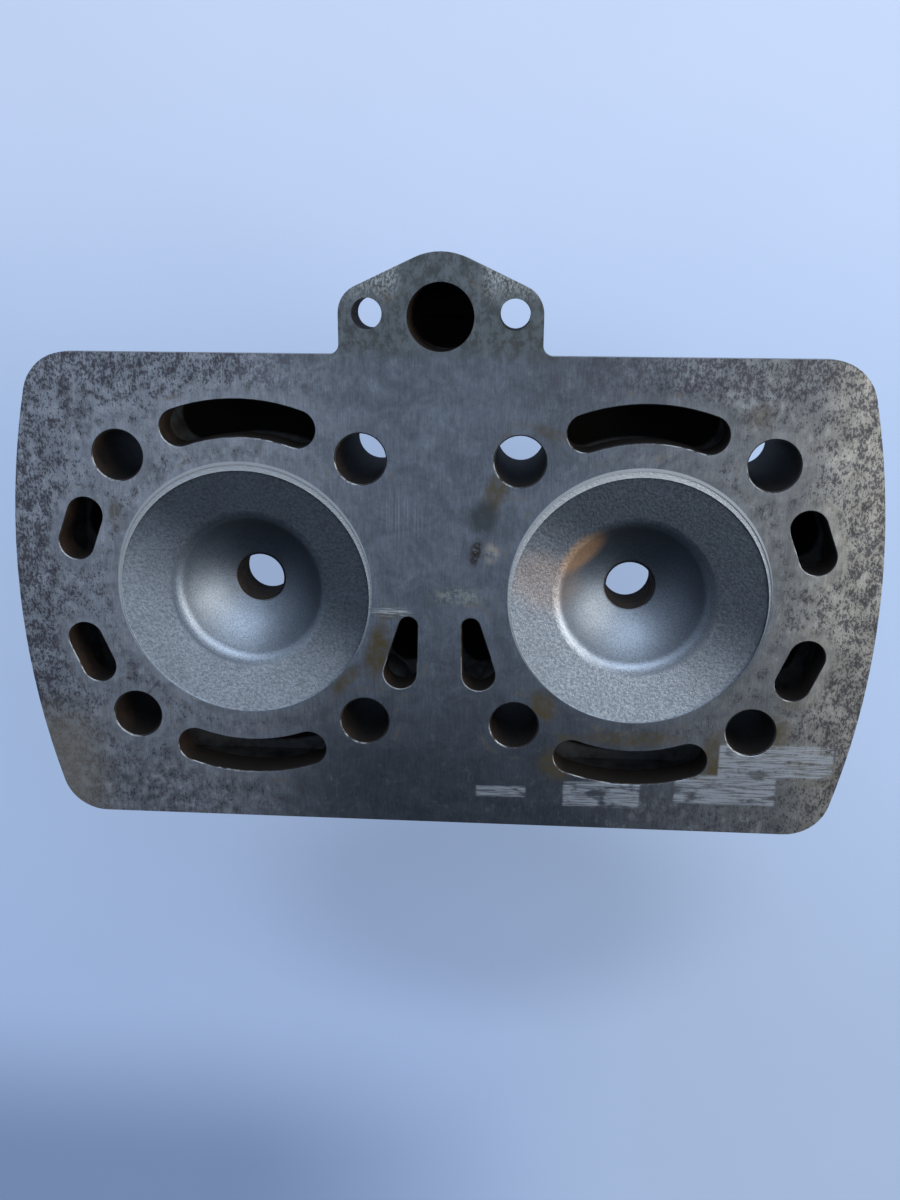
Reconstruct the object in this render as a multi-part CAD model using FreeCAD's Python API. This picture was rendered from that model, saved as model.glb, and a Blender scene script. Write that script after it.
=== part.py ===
import FreeCAD, Part
import math
import os

V = FreeCAD.Vector
UP = V(0, 0, 1)

# Cylinder head of a water-cooled two-stroke twin, gasket face up, in millimetres.
# Origin: on the gasket face, midway between the two cylinders.
# +X towards the right-hand cylinder, +Y towards the coolant tab, +Z out of the gasket face.

# Outline of the gasket face; the sides lie SIDE_REACH beyond the cylinder axes
SIDE_REACH = 59.1
SIDE_RADIUS = 212.0
SIDE_MID_Y = -1.0
FRONT_Y = 59.7
REAR_Y = -63.2
FRONT_CORNER_R = 12.0
REAR_CORNER_R = 11.5
EDGE_BAND = 3.0
DRAFT = 0.11

# Casting walls, as depths below the gasket face
BODY_DEPTH = 32.0
PLATE_THICKNESS = 9.0
DECK_THICKNESS = 5.5
WALL = 5.5
DECK_EDGE_R = 5.0

# Cylinders and their studs
BORE_SPACING = 100.0
STUD_HALF_X = 30.43
STUD_HALF_Y = 34.58
STUD_HOLE_R = 6.3
STUD_CHAMFER = 0.35
STUD_BOSS_R = 10.5
STUD_BOSS_RISE = 10.0

# Shallow register turned round each chamber
REGISTER_W = 0.7
REGISTER_DEPTH = 0.35

# Combustion chamber: squish band, bowl and plug hole
SQUISH_R = 32.1
SQUISH_OFFSET_X = 0.1
SQUISH_Y = -0.9
SQUISH_EDGE_DEPTH = 0.75
SQUISH_SLOPE = 0.09
BOWL_R = 19.8
BOWL_RISE = 4.9
BOWL_LIP_R = 3.2
DOME_WALL = 6.0
PLUG_INSET = 1.05
PLUG_Y = 0.27
PLUG_THREAD_R = 6.32
PLUG_REACH = 12.7
PLUG_MOUTH_LAND = 0.15
PLUG_CHAMFER = 0.35
PLUG_WELL_R = 12.5
PLUG_BOSS_R = 17.0
PLUG_BOSS_RISE = 3.0

# Coolant slots through the gasket plate; side slots are placed from the cylinder axis
FRONT_KIDNEY_R = 44.2
FRONT_KIDNEY_HALF = 4.6
REAR_KIDNEY_R = 45.6
REAR_KIDNEY_HALF = 4.65
KIDNEY_END_DEG = 19.5
SIDE_SLOT_R = 4.5
FRONT_SIDE_SLOT = ((40.1, 19.3), (42.9, 12.15))
REAR_SIDE_SLOT = ((42.75, -13.9), (39.9, -21.05))
KEY_SLOT_TOP = (8.0, -8.1, 2.4)
KEY_SLOT_FOOT = (10.2, -20.95, 4.35)
SLOT_CHAMFER = 0.25
CHAMFER_SHARE = 0.99

# Coolant tab on the front edge
PORT_Y = 68.52
PORT_R = 8.05
PORT_NOSE_R = 14.8
PORT_DEPTH = 19.5
PORT_BOSS_R = 13.4
PORT_BOSS_DEPTH = 25.0
DUCT_R = 6.6
DUCT_WALL = 4.4
DUCT_DEPTH = 17.6
TAB_BOLT_X = 17.58
TAB_BOLT_Y = 69.21
TAB_BOLT_R = 3.65
TAB_EAR_R = 6.8
TAB_THICKNESS = 12.0
TAB_ROOT_R = 2.5

# Thermostat boss on the outer deck, and its cover
COVER_BOLT_X = 27.0
COVER_BOLT_Y = 10.0
COVER_EAR_R = 7.5
STAT_BOSS_R = 23.5
STAT_BOSS_RISE = 12.0
STAT_RECESS_R = 17.8
STAT_RECESS_DEPTH = 3.0
STAT_BORE_R = 15.0
GASKET_T = 0.5
COVER_FLANGE_T = 7.0
COVER_DOME_R = 21.0
COVER_WALL = 4.5
COVER_HEIGHT = 23.5
COVER_EDGE_R = 4.0
NECK_HEIGHT = 11.5
NECK_R = 10.5
NECK_BORE_R = 8.0
NECK_BEAD_R = 12.0
NECK_BEAD_W = 4.0
NECK_BEAD_EDGE_R = 1.3
NECK_END_Y = 48.0
NECK_LEAD = 2.0

# Cover bolts and washers
BOLT_R = 2.95
THREAD_GAP = 0.05
HOLE_GAP = 0.35
BOLT_TIP_CHAMFER = 0.6
BOLT_HEAD_AF = 10.0
BOLT_HEAD_H = 4.2
BOLT_GRIP_IN_BOSS = 14.0
HOLE_SPARE = 1.5
PLAIN_WASHER_R = 6.0
PLAIN_WASHER_T = 1.2
SPRING_WASHER_R = 5.2
SPRING_WASHER_T = 1.5
SPRING_WASHER_SPLIT = 1.0

# Wax thermostat
FLANGE_T = 1.2
FLANGE_GAP = 0.2
STAT_PORT_R = 10.4
SEAL_RING_W = 2.3
VALVE_R = 12.1
VALVE_SEAL_T = 0.8
VALVE_SEAL_W = 2.4
VALVE_DISC_T = 1.0
CAPSULE_R = 6.8
CAPSULE_COLLAR_R = 7.8
CAPSULE_COLLAR_T = 2.0
CAPSULE_LENGTH = 15.0
CAPSULE_EDGE_R = 1.3
PIN_R = 1.5
PIN_GAP = 0.06
PIN_TIP_CHAMFER = 0.4
PIN_DEPTH_IN_CAPSULE = 10.0
BRIDGE_HEIGHT = 8.0
BRIDGE_T = 1.2
BRIDGE_HALF_WIDTH = 3.0
BRIDGE_LEG_X = 10.8
STIRRUP_HEIGHT = 22.8
STIRRUP_T = 1.0
STIRRUP_HALF_WIDTH = 3.0
STIRRUP_LEG_Y = 13.0
STIRRUP_RING_R = 10.6
GUIDE_GAP = 0.4
SPRING_MEAN_R = 9.3
SPRING_WIRE_R = 0.65
SPRING_TURNS = 5.0
JIGGLE_X = 13.6
JIGGLE_HOLE_R = 0.95
JIGGLE_SHANK_R = 0.6
JIGGLE_HEAD_R = 1.15
JIGGLE_HEAD_T = 0.8
JIGGLE_FREE = 1.4

# Temperature sender on the outer deck
SENDER_Y = -46.0
SENDER_BOSS_R = 9.0
PORT_FACE_RISE = 5.0
SENDER_R = 4.95
SENDER_HEX_AF = 14.0
SENDER_HEX_H = 6.0
SENDER_PROBE_R = 3.4
SENDER_PROBE_L = 20.0
SENDER_PROBE_EDGE_R = 1.1
COPPER_T = 1.2
COPPER_R = 7.2
INSULATOR_R = 4.6
INSULATOR_H = 3.2
INSULATOR_EDGE_R = 0.75
BLADE_W = 6.3
BLADE_T = 0.8
BLADE_L = 8.0
BLADE_HOLE_R = 0.9
BLADE_HOLE_UP = 4.8

# Blanking plug of the unused take-off
BLANK_X = -50.0
BLANK_Y = -45.0
BLANK_BOSS_R = 10.5
BLANK_R = 6.0
BLANK_HEX_AF = 17.0
BLANK_HEX_H = 7.0
BLANK_WASHER_R = 9.2
BLANK_SOCKET_AF = 6.0
BLANK_SOCKET_DEPTH = 4.5

# Bleed screw on the rear of the thermostat cover
BLEED_R = 2.95
BLEED_BOSS_R = 7.0
BLEED_BOSS_REACH = 4.5
BLEED_WASHER_R = 5.4
BLEED_WASHER_T = 1.0
BLEED_HEX_AF = 9.0
BLEED_HEX_H = 4.5
BLEED_TIP_GAP = 1.0
BLEED_TIP_CHAMFER = 0.7

# Ribs across the outer deck
RIB_W = 4.0
RIB_RISE = 3.0

# Worked out from the values above
CYL_X = BORE_SPACING / 2
HALF_WIDTH = CYL_X + SIDE_REACH
REGISTER_R = SQUISH_R + REGISTER_W
PLUG_X = CYL_X - PLUG_INSET
PLUG_MOUTH_DEPTH = math.sqrt(BOWL_R ** 2 - PLUG_THREAD_R ** 2) - BOWL_RISE + PLUG_MOUTH_LAND
PLUG_SEAT_DEPTH = PLUG_MOUTH_DEPTH + PLUG_REACH
DECK_INNER_DEPTH = BODY_DEPTH - DECK_THICKNESS
STUD_BOSS_DEPTH = BODY_DEPTH + STUD_BOSS_RISE
PLUG_BOSS_DEPTH = BODY_DEPTH + PLUG_BOSS_RISE
STAT_BOSS_DEPTH = BODY_DEPTH + STAT_BOSS_RISE
PORT_FACE_DEPTH = BODY_DEPTH + PORT_FACE_RISE
RIB_DEPTH = BODY_DEPTH + RIB_RISE
SENDER_PROBE_TIP = PORT_FACE_DEPTH - SENDER_PROBE_L
COVER_FACE = STAT_BOSS_DEPTH + GASKET_T
COVER_DEPTH = COVER_FACE + COVER_HEIGHT
NECK_DEPTH = COVER_FACE + NECK_HEIGHT
FLANGE_FLOOR = STAT_BOSS_DEPTH - STAT_RECESS_DEPTH
SIDES = (-1, 1)
STUDS = [
    (side * CYL_X + sx * STUD_HALF_X, sy * STUD_HALF_Y)
    for side in SIDES
    for sx in SIDES
    for sy in SIDES
]
COVER_BOLTS = [(COVER_BOLT_X, COVER_BOLT_Y), (-COVER_BOLT_X, -COVER_BOLT_Y)]

# How far cuts run past a face, and how near two places count as one
CUT_OVER = 1.0
SAME = 1e-4


def cyl(radius, deep, shallow, x=0.0, y=0.0):
    """Upright cylinder between two depths below the gasket face."""
    return Part.makeCylinder(radius, deep - shallow, V(x, y, -deep), UP)


def cone(r_deep, r_shallow, deep, shallow, x=0.0, y=0.0):
    return Part.makeCone(r_deep, r_shallow, deep - shallow, V(x, y, -deep), UP)


def cyl_y(radius, y0, y1, depth, x=0.0):
    """Cylinder along Y at one depth."""
    return Part.makeCylinder(radius, y1 - y0, V(x, y0, -depth), V(0, 1, 0))


def box(x0, x1, y0, y1, deep, shallow):
    return Part.makeBox(x1 - x0, y1 - y0, deep - shallow, V(x0, y0, -deep))


def prism(wire, deep, shallow):
    """Wire drawn at z = 0, as a solid between two depths."""
    face = Part.Face(wire)
    face.translate(V(0, 0, -deep))
    return face.extrude(V(0, 0, deep - shallow))


def fuse(shapes):
    return shapes[0].multiFuse(shapes[1:]).removeSplitter()


def ring(outer, inner, deep, shallow, x=0.0, y=0.0):
    body = cyl(outer, deep, shallow, x, y)
    return body.cut(cyl(inner, deep + CUT_OVER, shallow - CUT_OVER, x, y))


def polar(x, y, radius, angle):
    return V(x + radius * math.cos(angle), y + radius * math.sin(angle), 0)


def hull(circles):
    """Wire round circles (x, y, r) given anticlockwise, joined by their outer tangents."""
    count = len(circles)
    normals = []
    for i in range(count):
        xa, ya, ra = circles[i]
        xb, yb, rb = circles[(i + 1) % count]
        heading = math.atan2(yb - ya, xb - xa)
        lean = math.asin((ra - rb) / math.hypot(xb - xa, yb - ya))
        normals.append(heading - math.pi / 2 + lean)
    edges = []
    for i in range(count):
        x, y, r = circles[i]
        first = normals[i - 1]
        sweep = (normals[i] - first) % (2 * math.pi)
        middle = polar(x, y, r, first + sweep / 2)
        arc = Part.Arc(polar(x, y, r, first), middle, polar(x, y, r, normals[i]))
        edges.append(arc.toShape())
        xn, yn, rn = circles[(i + 1) % count]
        edges.append(Part.makeLine(polar(x, y, r, normals[i]), polar(xn, yn, rn, normals[i])))
    return Part.Wire(edges)


def kidney(x, y, mean_r, half, start_deg, end_deg):
    """Wire of an arc-shaped slot with round ends."""
    a0 = math.radians(start_deg)
    a1 = math.radians(end_deg)
    am = (a0 + a1) / 2
    outer = mean_r + half
    inner = mean_r - half
    end0 = polar(x, y, mean_r, a0) + polar(0, 0, half, a0 - math.pi / 2)
    end1 = polar(x, y, mean_r, a1) + polar(0, 0, half, a1 + math.pi / 2)
    arcs = [
        Part.Arc(polar(x, y, outer, a0), polar(x, y, outer, am), polar(x, y, outer, a1)),
        Part.Arc(polar(x, y, outer, a1), end1, polar(x, y, inner, a1)),
        Part.Arc(polar(x, y, inner, a1), polar(x, y, inner, am), polar(x, y, inner, a0)),
        Part.Arc(polar(x, y, inner, a0), end0, polar(x, y, outer, a0)),
    ]
    return Part.Wire([arc.toShape() for arc in arcs])


def hexagon(across_flats, deep, shallow, x=0.0, y=0.0):
    corner = across_flats / math.sqrt(3)
    points = [polar(x, y, corner, math.radians(60 * i)) for i in range(7)]
    return prism(Part.makePolygon(points), deep, shallow)


def hex_head(across_flats, deep, shallow, x=0.0, y=0.0):
    """Hexagon whose corners are turned off on its outer end."""
    corner = across_flats / math.sqrt(3)
    turned = cone(across_flats / 2, corner + (deep - shallow), deep, shallow, x, y)
    return hexagon(across_flats, deep, shallow, x, y).common(turned)


def edges_at(shape, test):
    return [edge for edge in shape.Edges if test(edge)]


def level(edge, depth):
    """True where the whole edge lies at one depth."""
    box_ = edge.BoundBox
    return abs(box_.ZMin + depth) < SAME and abs(box_.ZMax + depth) < SAME


def upright(edge):
    box_ = edge.BoundBox
    return box_.XLength < SAME and box_.YLength < SAME


def outline(deep, shallow, inset):
    """Head outline without the tab: two bowed sides, flat front and rear, rounded corners."""
    width = HALF_WIDTH - inset
    block = box(-width, width, REAR_Y + inset, FRONT_Y - inset, deep, shallow)
    for side in SIDES:
        centre_x = side * (HALF_WIDTH - SIDE_RADIUS)
        block = block.common(cyl(SIDE_RADIUS - inset, deep, shallow, centre_x, SIDE_MID_Y))
    front = edges_at(block, lambda e: upright(e) and e.BoundBox.YMin > 0)
    block = block.makeFillet(max(FRONT_CORNER_R - inset, WALL), front)
    rear = edges_at(block, lambda e: upright(e) and e.BoundBox.YMax < REAR_Y / 2)
    return block.makeFillet(max(REAR_CORNER_R - inset, WALL), rear)


def outline_wire(depth, inset):
    """Edge of the head at one depth, pulled in by the inset."""
    slab = outline(depth + CUT_OVER, depth, inset)
    top = [face for face in slab.Faces if abs(face.BoundBox.ZMin + depth) < SAME]
    return top[0].OuterWire


def drafted(deep, shallow, inset):
    """Head outline whose walls lean inwards with depth, as cast."""
    far = inset + DRAFT * (deep - EDGE_BAND)
    near = inset + DRAFT * (shallow - EDGE_BAND)
    return Part.makeLoft([outline_wire(deep, far), outline_wire(shallow, near)], True, True)


def tab_wire():
    foot_y = FRONT_Y - WALL
    return hull([
        (TAB_BOLT_X, TAB_BOLT_Y, TAB_EAR_R),
        (0.0, PORT_Y, PORT_NOSE_R),
        (-TAB_BOLT_X, TAB_BOLT_Y, TAB_EAR_R),
        (-TAB_BOLT_X, foot_y, TAB_EAR_R),
        (TAB_BOLT_X, foot_y, TAB_EAR_R),
    ])


def cover_wire():
    """Lozenge shared by the boss, the gasket and the cover flange."""
    return hull([
        (COVER_BOLT_X, COVER_BOLT_Y, COVER_EAR_R),
        (0.0, 0.0, STAT_BOSS_R),
        (-COVER_BOLT_X, -COVER_BOLT_Y, COVER_EAR_R),
        (0.0, 0.0, STAT_BOSS_R),
    ])


def chamber(side):
    """Squish band, bowl and plug hole of one cylinder, as the solid to cut away."""
    x = side * (CYL_X + SQUISH_OFFSET_X)
    plug_x = side * PLUG_X
    squish_depth = SQUISH_EDGE_DEPTH + SQUISH_R * SQUISH_SLOPE
    band = cone(0, SQUISH_R, squish_depth, SQUISH_EDGE_DEPTH, x, SQUISH_Y)
    band = band.fuse(cyl(SQUISH_R, SQUISH_EDGE_DEPTH, -CUT_OVER, x, SQUISH_Y))
    bowl = Part.makeSphere(BOWL_R, V(plug_x, PLUG_Y, BOWL_RISE))
    bowl = bowl.common(cyl(BOWL_R, BOWL_R, SQUISH_EDGE_DEPTH, plug_x, PLUG_Y))
    void = fuse([band, bowl])
    lip = edges_at(void, lambda e: lip_edge(e, squish_depth))
    return void.makeFillet(BOWL_LIP_R, lip)


def lip_edge(edge, squish_depth):
    """The edge where the squish band breaks into the bowl."""
    box_ = edge.BoundBox
    between = -squish_depth < box_.ZMin and box_.ZMax < -SQUISH_EDGE_DEPTH - SAME
    return between and box_.XLength > BOWL_R


def plug_hole(side):
    """Thread, its mouth chamfer in the bowl and the well that takes the plug spanner."""
    x = side * PLUG_X
    mouth = PLUG_MOUTH_DEPTH - PLUG_CHAMFER
    bevel = cone(PLUG_THREAD_R, PLUG_THREAD_R + 2 * PLUG_CHAMFER,
                 PLUG_MOUTH_DEPTH + PLUG_CHAMFER, mouth, x, PLUG_Y)
    thread = cyl(PLUG_THREAD_R, PLUG_SEAT_DEPTH + CUT_OVER, PLUG_MOUTH_DEPTH - CUT_OVER, x, PLUG_Y)
    well = cyl(PLUG_WELL_R, PLUG_BOSS_DEPTH + CUT_OVER, PLUG_SEAT_DEPTH, x, PLUG_Y)
    return [bevel, thread, well]


def slot_cutters():
    """The twelve coolant slots, each with a small chamfer at the gasket face."""
    wires = []
    for side in SIDES:
        x = side * CYL_X
        wires.append(kidney(x, 0, FRONT_KIDNEY_R, FRONT_KIDNEY_HALF,
                            90 - KIDNEY_END_DEG, 90 + KIDNEY_END_DEG))
        wires.append(kidney(x, 0, REAR_KIDNEY_R, REAR_KIDNEY_HALF,
                            270 - KIDNEY_END_DEG, 270 + KIDNEY_END_DEG))
        for (xa, ya), (xb, yb) in (FRONT_SIDE_SLOT, REAR_SIDE_SLOT):
            wires.append(capsule(side, CYL_X + xa, ya, SIDE_SLOT_R, CYL_X + xb, yb, SIDE_SLOT_R))
        wires.append(capsule(side, *KEY_SLOT_TOP, *KEY_SLOT_FOOT))
    depth = PLATE_THICKNESS + CUT_OVER
    return [slot_tool(wire, depth) for wire in wires]


def slot_tool(wire, depth):
    """Slot cut below the gasket face, widened at the face itself by a chamfer just under its own height."""
    tool = prism(wire, depth, -SLOT_CHAMFER)
    wide = Part.Wire(wire.makeOffset2D(SLOT_CHAMFER).Edges)
    mouth = prism(wide, SLOT_CHAMFER, -SLOT_CHAMFER)
    edges = edges_at(mouth, lambda e: level(e, SLOT_CHAMFER))
    return tool.fuse(mouth.makeChamfer(SLOT_CHAMFER * CHAMFER_SHARE, edges))


def capsule(side, xa, ya, ra, xb, yb, rb):
    return hull([(side * xa, ya, ra), (side * xb, yb, rb)])


def jacket():
    """Water space between the gasket plate and the outer deck."""
    void = drafted(DECK_INNER_DEPTH, PLATE_THICKNESS, WALL)
    solids = [cyl(STUD_BOSS_R, BODY_DEPTH, 0, x, y) for x, y in STUDS]
    for side in SIDES:
        x = side * PLUG_X
        dome = Part.makeSphere(BOWL_R + DOME_WALL, V(x, PLUG_Y, BOWL_RISE))
        solids.append(dome)
        solids.append(cyl(PLUG_BOSS_R, BODY_DEPTH, 0, x, PLUG_Y))
    for x, y in COVER_BOLTS:
        solids.append(cyl(COVER_EAR_R, BODY_DEPTH, DECK_INNER_DEPTH - DECK_THICKNESS, x, y))
    return void.cut(solids)


def deck_bosses():
    """Everything that stands on the outer deck, before it is drilled."""
    parts = [cyl(STUD_BOSS_R, STUD_BOSS_DEPTH, DECK_INNER_DEPTH, x, y) for x, y in STUDS]
    parts.append(prism(cover_wire(), STAT_BOSS_DEPTH, DECK_INNER_DEPTH))
    parts.append(cyl(SENDER_BOSS_R, PORT_FACE_DEPTH, DECK_INNER_DEPTH, 0, SENDER_Y))
    parts.append(cyl(BLANK_BOSS_R, PORT_FACE_DEPTH, DECK_INNER_DEPTH, BLANK_X, BLANK_Y))
    for side in SIDES:
        parts.append(cyl(PLUG_BOSS_R, PLUG_BOSS_DEPTH, DECK_INNER_DEPTH, side * PLUG_X, PLUG_Y))
    parts.extend(deck_ribs())
    return parts


def deck_ribs():
    """Ribs from each plug boss out to its four stud bosses."""
    ribs = []
    for side in SIDES:
        for sx in SIDES:
            for sy in SIDES:
                end = V(side * CYL_X + sx * STUD_HALF_X, sy * STUD_HALF_Y, 0)
                start = V(side * PLUG_X, PLUG_Y, 0)
                along = end - start
                rib = box(0, along.Length, -RIB_W / 2, RIB_W / 2, RIB_DEPTH, DECK_INNER_DEPTH)
                turn = math.degrees(math.atan2(along.y, along.x))
                rib.rotate(V(0, 0, 0), UP, turn)
                rib.translate(start)
                ribs.append(rib)
    return ribs


def tab_parts():
    flange = prism(tab_wire(), TAB_THICKNESS, 0)
    boss = cyl(PORT_BOSS_R, PORT_BOSS_DEPTH, 0, 0, PORT_Y)
    duct = cyl_y(DUCT_R + DUCT_WALL, FRONT_Y - WALL, PORT_Y, DUCT_DEPTH)
    return [flange, boss, duct]


def tab_roots(body):
    """Fillets where the tab flange meets the front edge of the head."""
    edges = edges_at(body, lambda e: upright(e) and abs(e.BoundBox.YMin - FRONT_Y) < SAME
                     and e.BoundBox.ZMax > -CUT_OVER)
    return body.makeFillet(TAB_ROOT_R, edges)


def drillings():
    """Every hole that goes through a wall of the casting."""
    cuts = []
    for x, y in STUDS:
        cuts.append(cyl(STUD_HOLE_R, STUD_BOSS_DEPTH + CUT_OVER, -CUT_OVER, x, y))
        cuts.append(cone(STUD_HOLE_R, STUD_HOLE_R + 2 * STUD_CHAMFER,
                         STUD_CHAMFER, -STUD_CHAMFER, x, y))
    for side in SIDES:
        cuts.append(cyl(REGISTER_R, REGISTER_DEPTH, -CUT_OVER, side * CYL_X, 0))
        cuts.append(chamber(side))
        cuts.extend(plug_hole(side))
        cuts.append(cyl(TAB_BOLT_R, TAB_THICKNESS + CUT_OVER, -CUT_OVER,
                        side * TAB_BOLT_X, TAB_BOLT_Y))
    cuts.append(cyl(PORT_R, PORT_DEPTH, -CUT_OVER, 0, PORT_Y))
    cuts.append(cyl_y(DUCT_R, FRONT_Y - 2 * WALL, PORT_Y, DUCT_DEPTH))
    cuts.append(cyl(STAT_RECESS_R, STAT_BOSS_DEPTH + CUT_OVER, FLANGE_FLOOR))
    cuts.append(cyl(STAT_BORE_R, STAT_BOSS_DEPTH, DECK_INNER_DEPTH - CUT_OVER))
    for x, y in COVER_BOLTS:
        bottom = STAT_BOSS_DEPTH - BOLT_GRIP_IN_BOSS - HOLE_SPARE
        cuts.append(cyl(BOLT_R + THREAD_GAP, STAT_BOSS_DEPTH + CUT_OVER, bottom, x, y))
    cuts.append(cyl(SENDER_R + THREAD_GAP, PORT_FACE_DEPTH + CUT_OVER,
                    DECK_INNER_DEPTH - CUT_OVER, 0, SENDER_Y))
    cuts.append(cyl(BLANK_R + THREAD_GAP, PORT_FACE_DEPTH + CUT_OVER,
                    DECK_INNER_DEPTH - CUT_OVER, BLANK_X, BLANK_Y))
    return cuts


def head_casting():
    """The one-piece casting, machined and drilled."""
    lower = drafted(BODY_DEPTH, EDGE_BAND, 0)
    lower = lower.makeFillet(DECK_EDGE_R, edges_at(lower, lambda e: level(e, BODY_DEPTH)))
    band = fuse([outline(EDGE_BAND, 0, 0), prism(tab_wire(), EDGE_BAND, 0)])
    body = fuse([tab_roots(band), lower, *tab_parts()])
    body = body.cut(jacket())
    body = fuse([body, *deck_bosses()])
    body = body.cut(drillings())
    return body.cut(slot_cutters())


def cover_gasket():
    plate = prism(cover_wire(), COVER_FACE, STAT_BOSS_DEPTH)
    cuts = [cyl(STAT_RECESS_R, COVER_FACE + CUT_OVER, STAT_BOSS_DEPTH - CUT_OVER)]
    for x, y in COVER_BOLTS:
        cuts.append(cyl(BOLT_R + HOLE_GAP, COVER_FACE + CUT_OVER, STAT_BOSS_DEPTH - CUT_OVER, x, y))
    return plate.cut(cuts)


def thermostat_cover():
    """Cast elbow: bolted flange, domed chamber, hose neck to the front, bleed boss to the rear."""
    flange = prism(cover_wire(), COVER_FACE + COVER_FLANGE_T, COVER_FACE)
    dome = cyl(COVER_DOME_R, COVER_DEPTH, COVER_FACE)
    dome = dome.makeFillet(COVER_EDGE_R, edges_at(dome, lambda e: level(e, COVER_DEPTH)))
    neck = cyl_y(NECK_R, 0, NECK_END_Y, NECK_DEPTH)
    bead_y = NECK_END_Y - NECK_LEAD - NECK_BEAD_W
    bead = cyl_y(NECK_BEAD_R, bead_y, bead_y + NECK_BEAD_W, NECK_DEPTH)
    rims = edges_at(bead, lambda e: e.BoundBox.YLength < SAME)
    bead = bead.makeFillet(NECK_BEAD_EDGE_R, rims)
    boss = cyl_y(BLEED_BOSS_R, -COVER_DOME_R - BLEED_BOSS_REACH, 0, NECK_DEPTH)
    body = fuse([flange, dome, neck, bead, boss])
    inner_r = COVER_DOME_R - COVER_WALL
    room = cyl(inner_r, COVER_DEPTH - COVER_WALL, COVER_FACE - CUT_OVER)
    bore = cyl_y(NECK_BORE_R, 0, NECK_END_Y + CUT_OVER, NECK_DEPTH)
    screw = cyl_y(BLEED_R + THREAD_GAP, -COVER_DOME_R - BLEED_BOSS_REACH - CUT_OVER, 0, NECK_DEPTH)
    cuts = [room, bore, screw]
    for x, y in COVER_BOLTS:
        cuts.append(cyl(BOLT_R + HOLE_GAP, COVER_FACE + COVER_FLANGE_T + CUT_OVER,
                        COVER_FACE - CUT_OVER, x, y))
    return body.cut(cuts)


def cover_plain_washers():
    top = COVER_FACE + COVER_FLANGE_T
    return Part.makeCompound([
        ring(PLAIN_WASHER_R, BOLT_R + HOLE_GAP, top + PLAIN_WASHER_T, top, x, y)
        for x, y in COVER_BOLTS
    ])


def cover_spring_washers():
    """Split rings, each with its gap."""
    top = COVER_FACE + COVER_FLANGE_T + PLAIN_WASHER_T
    washers = []
    for x, y in COVER_BOLTS:
        washer = ring(SPRING_WASHER_R, BOLT_R + THREAD_GAP, top + SPRING_WASHER_T, top, x, y)
        half = SPRING_WASHER_SPLIT / 2
        split = box(x, x + SPRING_WASHER_R + CUT_OVER, y - half, y + half,
                    top + SPRING_WASHER_T + CUT_OVER, top - CUT_OVER)
        washers.append(washer.cut(split))
    return Part.makeCompound(washers)


def cover_bolts():
    seat = COVER_FACE + COVER_FLANGE_T + PLAIN_WASHER_T + SPRING_WASHER_T
    tip = STAT_BOSS_DEPTH - BOLT_GRIP_IN_BOSS
    bolts = []
    for x, y in COVER_BOLTS:
        shank = cyl(BOLT_R, seat, tip, x, y)
        shank = shank.makeChamfer(BOLT_TIP_CHAMFER, edges_at(shank, lambda e: level(e, tip)))
        head = hex_head(BOLT_HEAD_AF, seat + BOLT_HEAD_H, seat, x, y)
        bolts.append(shank.fuse(head))
    return Part.makeCompound(bolts)


def thermostat_frame():
    """Pressed flange with the valve port, and the bridge that holds the piston pin."""
    outer_r = STAT_RECESS_R - FLANGE_GAP
    bottom = FLANGE_FLOOR + FLANGE_T
    plate = ring(outer_r, STAT_PORT_R, bottom, FLANGE_FLOOR)
    top = bottom + BRIDGE_HEIGHT
    bar_end = BRIDGE_LEG_X + BRIDGE_T
    bar = box(-bar_end, bar_end, -BRIDGE_HALF_WIDTH, BRIDGE_HALF_WIDTH, top + BRIDGE_T, top)
    legs = []
    for side in SIDES:
        low, high = sorted((side * BRIDGE_LEG_X, side * bar_end))
        legs.append(box(low, high, -BRIDGE_HALF_WIDTH, BRIDGE_HALF_WIDTH, top, bottom))
    frame = fuse([plate, bar, *legs])
    jiggle = cyl(JIGGLE_HOLE_R, bottom + CUT_OVER, FLANGE_FLOOR - CUT_OVER, JIGGLE_X, 0)
    return frame.cut(jiggle)


def spring_stirrup():
    """Inner stirrup: two legs down from the flange to the ring that the spring bears on."""
    top = FLANGE_FLOOR - STIRRUP_HEIGHT
    hole_r = CAPSULE_R + GUIDE_GAP
    plate = ring(STIRRUP_RING_R, hole_r, top + STIRRUP_T, top)
    parts = [plate]
    leg_end = STIRRUP_LEG_Y + STIRRUP_T
    for side in SIDES:
        low, high = sorted((side * (hole_r + STIRRUP_T), side * leg_end))
        parts.append(box(-STIRRUP_HALF_WIDTH, STIRRUP_HALF_WIDTH, low, high, top + STIRRUP_T, top))
        low, high = sorted((side * STIRRUP_LEG_Y, side * leg_end))
        parts.append(box(-STIRRUP_HALF_WIDTH, STIRRUP_HALF_WIDTH, low, high, FLANGE_FLOOR, top))
    return fuse(parts)


def thermostat_seal_ring():
    outer_r = STAT_RECESS_R - FLANGE_GAP
    return ring(outer_r, outer_r - SEAL_RING_W, COVER_FACE, FLANGE_FLOOR + FLANGE_T)


def valve_seal():
    return ring(VALVE_R, VALVE_R - VALVE_SEAL_W, FLANGE_FLOOR, FLANGE_FLOOR - VALVE_SEAL_T)


def valve_disc():
    bottom = FLANGE_FLOOR - VALVE_SEAL_T
    return ring(VALVE_R, PIN_R + GUIDE_GAP, bottom, bottom - VALVE_DISC_T)


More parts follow.
